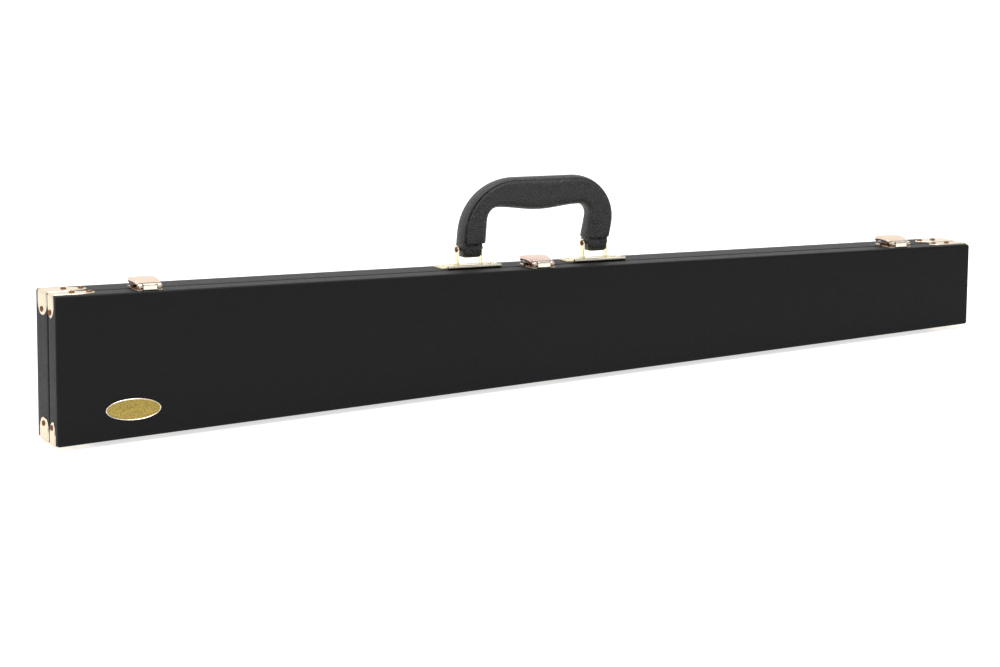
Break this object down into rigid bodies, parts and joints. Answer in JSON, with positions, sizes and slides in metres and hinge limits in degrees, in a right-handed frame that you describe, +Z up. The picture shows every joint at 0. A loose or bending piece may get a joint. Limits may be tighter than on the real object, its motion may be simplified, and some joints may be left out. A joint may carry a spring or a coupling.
{
  "type": "double bass bow case",
  "caption": "Slim hard case for a double bass bow: tapering covered shells, hinged lid, sheet latches, corner caps and a padded swinging handle.",
  "frame": {"origin": "centre of the closed case's box in X and Y, at its lowest point, the hinge knuckles", "axes": "+Z up with the slanting bottom level, +X from the frog end to the tip end, +Y from the lid's face to the back"},
  "size_m": [0.8076, 0.0516, 0.1638],
  "materials": {
    "case_leathercloth": "black leathercloth, fine pebble grain",
    "plywood": "bare birch plywood and softwood rails",
    "velvet_lining": "short-pile velvet",
    "velvet_padding": "velvet over foam",
    "pale_brass": "thin plated sheet brass, bright",
    "copper_rivets": "aged copper-brown rivet heads",
    "pin_steel": "plain steel pins and screw",
    "rose_gilt": "rose-tinted bright plating",
    "pale_gilt": "pale gold bright plating",
    "yellow_brass": "pale yellow bright brass",
    "handle_core_plastic": "black glossy core",
    "grip_leather": "padded black leather grip",
    "badge_brass": "granular gilt field with a bright rim",
    "button_brass": "satin brass"
  },
  "bodies": {
    "case": {"back_corner_rivets": "copper_rivets", "back_latch_rivets": "copper_rivets", "back_handle_rivets": "copper_rivets", "back_hinge_rivets": "copper_rivets", "back_cover": "case_leathercloth", "back_panel": "plywood", "back_top_rail": "plywood", "back_bottom_rail": "plywood", "back_frog_end_rail": "plywood", "back_tip_end_rail": "plywood", "back_lining": "velvet_lining", "back_corner_caps": "pale_brass", "back_hinge_leaves": "pale_brass", "hinge_pins": "pin_steel", "latch_frog_catch": "pale_gilt", "latch_middle_catch": "rose_gilt", "latch_tip_catch": "pale_gilt", "handle_frog_plate": "yellow_brass", "handle_frog_pin": "copper_rivets", "handle_tip_plate": "yellow_brass", "handle_tip_pin": "copper_rivets", "frog_block_upper": "velvet_padding", "frog_block_lower": "velvet_padding", "stick_rest": "velvet_padding", "tip_rest": "velvet_padding", "turn_button_screw": "pin_steel"},
    "lid": {"lid_corner_rivets": "copper_rivets", "lid_latch_rivets": "copper_rivets", "lid_hinge_rivets": "copper_rivets", "lid_cover": "case_leathercloth", "lid_panel": "plywood", "lid_top_rail": "plywood", "lid_bottom_rail": "plywood", "lid_frog_end_rail": "plywood", "lid_tip_end_rail": "plywood", "lid_lining": "velvet_lining", "lid_corner_caps": "pale_brass", "lid_hinge_leaves": "pale_brass", "latch_frog_plate": "pale_gilt", "latch_frog_pin": "pin_steel", "latch_middle_plate": "rose_gilt", "latch_middle_pin": "pin_steel", "latch_tip_plate": "pale_gilt", "latch_tip_pin": "pin_steel", "badge": "badge_brass"},
    "handle": {"handle_core": "handle_core_plastic", "handle_grip": "grip_leather"},
    "turn_button": {"turn_button": "button_brass"},
    "lever_frog": {"latch_frog_lever": "pale_gilt"},
    "lever_middle": {"latch_middle_lever": "rose_gilt"},
    "lever_tip": {"latch_tip_lever": "pale_gilt"}
  },
  "joints": [
    {"name": "lid_hinge", "type": "hinge", "parent": "case", "child": "lid", "pos_m": [0, -0.00425, 0.0017], "axis": [1, 0, 0], "range_deg": [0, 180]},
    {"name": "latch_frog_turn", "type": "hinge", "parent": "lid", "child": "lever_frog", "pos_m": [-0.32267, -0.01855, 0.11428], "axis": [0.9985, 0, -0.0549], "range_deg": [0, 120]},
    {"name": "latch_middle_turn", "type": "hinge", "parent": "lid", "child": "lever_middle", "pos_m": [0.00174, -0.01855, 0.09644], "axis": [0.9985, 0, -0.0549], "range_deg": [0, 120]},
    {"name": "latch_tip_turn", "type": "hinge", "parent": "lid", "child": "lever_tip", "pos_m": [0.33584, -0.01855, 0.07807], "axis": [0.9985, 0, -0.0549], "range_deg": [0, 120]},
    {"name": "handle_swing", "type": "hinge", "parent": "case", "child": "handle", "pos_m": [0.00586, 0.00875, 0.10753], "axis": [0.9985, 0, -0.0549], "range_deg": [-90, 90]},
    {"name": "turn_button_turn", "type": "hinge", "parent": "case", "child": "turn_button", "pos_m": [0.08285, 0.00125, 0.05072], "axis": [0, 1, 0], "range_deg": [-90, 90]}
  ]
}
